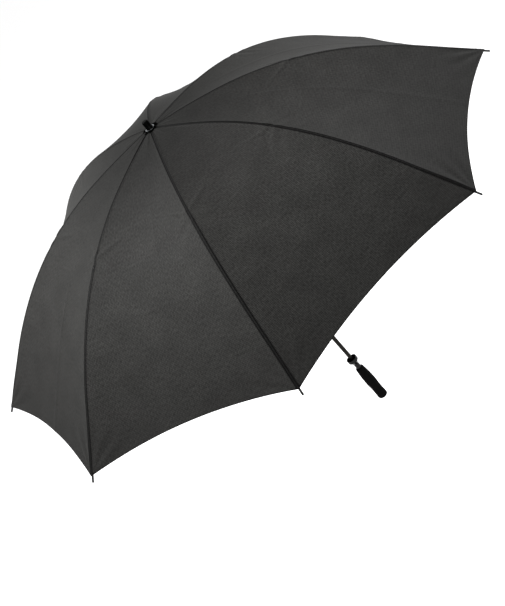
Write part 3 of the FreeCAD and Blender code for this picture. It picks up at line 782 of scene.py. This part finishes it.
# ---- finishes of the frame's own parts -----------------------------------------------------------
class UMBRELLA_OT_frame_finishes(bpy.types.Operator):
    """Gives the shaft, ribs, stretchers, hubs and fittings their finishes"""
    bl_idname = "umbrella.frame_finishes"
    bl_label = "Frame finishes"

    def execute(self, context):
        finishes = frame_finishes()
        for name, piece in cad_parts.items():
            stem = name.rstrip("0123456789").rstrip("_")
            if stem in finishes:
                piece.data.materials.clear()
                piece.data.materials.append(finishes[stem])
        return {"FINISHED"}


# ---- grip ----------------------------------------------------------------------------------------
def grip_outline():
    """(radius, height) down the grip's outside, read from the frame's grip a slice at a time."""
    bore, slices = grip_bore()[0], {}
    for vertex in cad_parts["grip"].data.vertices:
        height = round(vertex.co.z / GRIP_SLICE)
        radius = math.hypot(vertex.co.x, vertex.co.y)
        if radius > BORE_MARGIN * bore:
            slices[height] = max(slices.get(height, 0), radius)
    return [(slices[height], height * GRIP_SLICE) for height in sorted(slices, reverse=True)]


def grip_bore():
    """(radius, lowest height) of the hole that the shaft sits in."""
    spots = [vertex.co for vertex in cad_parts["grip"].data.vertices]
    radius = min(math.hypot(spot.x, spot.y) for spot in spots if spot.z > GRIP_HIGH.z - 0.1 * MM)
    floor = min(spot.z for spot in spots if abs(math.hypot(spot.x, spot.y) - radius) < 0.02 * MM)
    return radius, floor


def along_outline(outline, step):
    """Outline with points added so that none are further apart than step."""
    filled = [outline[0]]
    for (radius, height), (wide, low) in zip(outline, outline[1:]):
        parts = max(1, math.ceil(math.hypot(wide - radius, low - height) / step))
        filled += [(radius + (wide - radius) * at / parts, height + (low - height) * at / parts)
                   for at in range(1, parts + 1)]
    return filled


def foam_finish(sizes):
    """EVA foam, heat-shrunk on the shaft: matt charcoal, closed-cell skin with fine pores."""
    material, tree, shader = new_material("eva_foam_grip")
    place = node(tree, "ShaderNodeTexCoord").outputs["Object"]
    # Real cells are about 0.1 mm; they are drawn at 1.8 mm so that they show.
    pores = node(tree, "ShaderNodeTexVoronoi", {"Vector": place, "Scale": 1 / (1.8 * MM)}, feature="F1")
    cloud = speckle(tree, place, 7 * MM, 0.0, 1.0)
    tone = mixed(tree, cloud, sizes.foam_hex, "#040404")
    # Painted shade: the pores are drawn near black, darker than the skin round them.
    pore_painted_shade = mixed(tree, pores.outputs["Distance"], "#010101", tone)
    tree.links.new(mixed(tree, 0.55, tone, pore_painted_shade), shader.inputs["Base Color"])
    relief = node(tree, "ShaderNodeBump", {
        "Height": pores.outputs["Distance"], "Strength": 0.7, "Distance": 0.3 * MM})
    tree.links.new(relief.outputs["Normal"], shader.inputs["Normal"])
    shader.inputs["Roughness"].default_value = 0.7
    shader.inputs["IOR"].default_value = 1.48
    shader.inputs["Specular IOR Level"].default_value = 0.015
    shader.inputs["Sheen Weight"].default_value = 0.003
    shader.inputs["Sheen Roughness"].default_value = 0.5
    return material


class UMBRELLA_OT_grip(bpy.types.Operator):
    """Makes the foam grip with its finely pored skin"""
    bl_idname = "umbrella.grip"
    bl_label = "Foam grip"

    def execute(self, context):
        sizes = sizes_of("umbrella_grip")
        bore, floor = grip_bore()
        outline = [(bore, GRIP_HIGH.z)] + grip_outline() + [(GRIP_END_HOLE, GRIP_LOW.z)]
        profile = [(bore, floor)] + along_outline(outline, GRIP_STEP)
        points, faces, around = [], [], sizes.segments
        for radius, height in profile:
            for at in range(around):
                turn = 2 * math.pi * at / around
                spot = Vector((math.cos(turn), math.sin(turn), 0))
                grain = noise.noise((spot * radius + Vector((0, 0, height))) / DIMPLE_GRAIN)
                reach = radius + (sizes.dimple * grain if radius > SMOOTH_WITHIN * bore else 0)
                points.append(spot * reach + Vector((0, 0, height)))
        for ring in range(len(profile) - 1):
            for at in range(around):
                here, beside = ring * around + at, ring * around + (at + 1) % around
                faces.append((here, here + around, beside + around, beside))
        points += [Vector((0, 0, floor)), Vector((0, 0, GRIP_LOW.z))]
        last = (len(profile) - 1) * around
        for at in range(around):
            beside = (at + 1) % around
            faces.append((len(points) - 2, at, beside))
            faces.append((len(points) - 1, last + beside, last + at))
        grip = mesh_object("grip_foam", points, faces)
        grip.data.materials.append(foam_finish(sizes))
        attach(grip, "frame")
        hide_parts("grip")
        return {"FINISHED"}


# ---- stage ---------------------------------------------------------------------------------------
def studio_floor(height):
    """Large plain pale floor."""
    corners = [(x * FLOOR_REACH, y * FLOOR_REACH, height)
               for x, y in ((-1, -1), (1, -1), (1, 1), (-1, 1))]
    floor = mesh_object("studio_floor", corners, [(0, 1, 2, 3)])
    material, tree, shader = new_material("studio_floor_white")
    shader.inputs["Base Color"].default_value = linear("#FCFCFC")
    shader.inputs["Roughness"].default_value = 0.9
    floor.data.materials.append(material)


def softbox(name, place, power):
    """Square soft light that faces the canopy."""
    light = bpy.data.lights.new(name, "AREA")
    light.shape = "SQUARE"
    light.size = SOFTBOX_WIDTH
    light.energy = power
    lamp = bpy.data.objects.new(name, light)
    lamp.location = place
    lamp.rotation_euler = (Vector(LIT_POINT) - Vector(place)).to_track_quat("-Z", "Y").to_euler()
    bpy.context.scene.collection.objects.link(lamp)


class UMBRELLA_OT_stage(bpy.types.Operator):
    """Makes the camera, the pale floor and the soft studio light"""
    bl_idname = "umbrella.stage"
    bl_label = "Stage, light and camera"

    def execute(self, context):
        sizes = sizes_of("umbrella_stage")
        scene = context.scene
        lens = bpy.data.cameras.new("studio_camera")
        lens.lens = sizes.focal_length
        lens.sensor_width = 36
        lens.shift_x, lens.shift_y = LENS_SHIFT
        lens.clip_end = 500
        camera = bpy.data.objects.new("studio_camera", lens)
        ahead = Vector(EYE_AHEAD).normalized()
        right = Vector(EYE_RIGHT)
        right = (right - ahead * right.dot(ahead)).normalized()
        up = right.cross(ahead)
        turn = Matrix((right, up, -ahead)).transposed().to_4x4()
        camera.matrix_world = Matrix.Translation(EYE) @ turn
        scene.collection.objects.link(camera)
        scene.camera = camera
        studio_floor(GRIP_LOW.z - sizes.floor_below)
        softbox("key_softbox", (-2.0, 1.0, 3.9), sizes.key_power)
        softbox("front_softbox", (0.9, -3.7, 0.7), sizes.fill_power)
        softbox("back_softbox", (2.9, 2.3, 1.5), BACK_SHARE * sizes.fill_power)
        world = bpy.data.worlds.new("studio_room")
        scene.world = world
        world.use_nodes = True
        background = world.node_tree.nodes["Background"]
        background.inputs["Color"].default_value = linear("#FFFFFF")
        background.inputs["Strength"].default_value = sizes.world_light
        scene.view_settings.view_transform = "Standard"
        return {"FINISHED"}


# ---- panel and registration ----------------------------------------------------------------------
class UMBRELLA_PT_sidebar(bpy.types.Panel):
    """Lists the umbrella's operators"""
    bl_label = "Golf umbrella"
    bl_idname = "UMBRELLA_PT_sidebar"
    bl_space_type = "VIEW_3D"
    bl_region_type = "UI"
    bl_category = "Umbrella"

    def draw(self, context):
        for operator in OPERATORS:
            self.layout.operator(operator.bl_idname)


SETTINGS = {
    "umbrella_canopy": CanopySettings,
    "umbrella_stitching": StitchSettings,
    "umbrella_grip": GripSettings,
    "umbrella_stage": StageSettings,
}
OPERATORS = (
    UMBRELLA_OT_stage,
    UMBRELLA_OT_canopy,
    UMBRELLA_OT_stitching,
    UMBRELLA_OT_rosette,
    UMBRELLA_OT_frame_finishes,
    UMBRELLA_OT_grip,
)


def register():
    for kind in (*SETTINGS.values(), *OPERATORS, UMBRELLA_PT_sidebar):
        bpy.utils.register_class(kind)
    for name, kind in SETTINGS.items():
        setattr(bpy.types.Scene, name, bpy.props.PointerProperty(type=kind))


def unregister():
    for name in SETTINGS:
        delattr(bpy.types.Scene, name)
    for kind in (UMBRELLA_PT_sidebar, *reversed(OPERATORS), *reversed(SETTINGS.values())):
        bpy.utils.unregister_class(kind)


def main():
    register()
    bpy.ops.umbrella.stage()
    bpy.ops.umbrella.canopy()
    bpy.ops.umbrella.stitching()
    bpy.ops.umbrella.rosette()
    bpy.ops.umbrella.frame_finishes()
    bpy.ops.umbrella.grip()


if __name__ == "__main__":
    main()
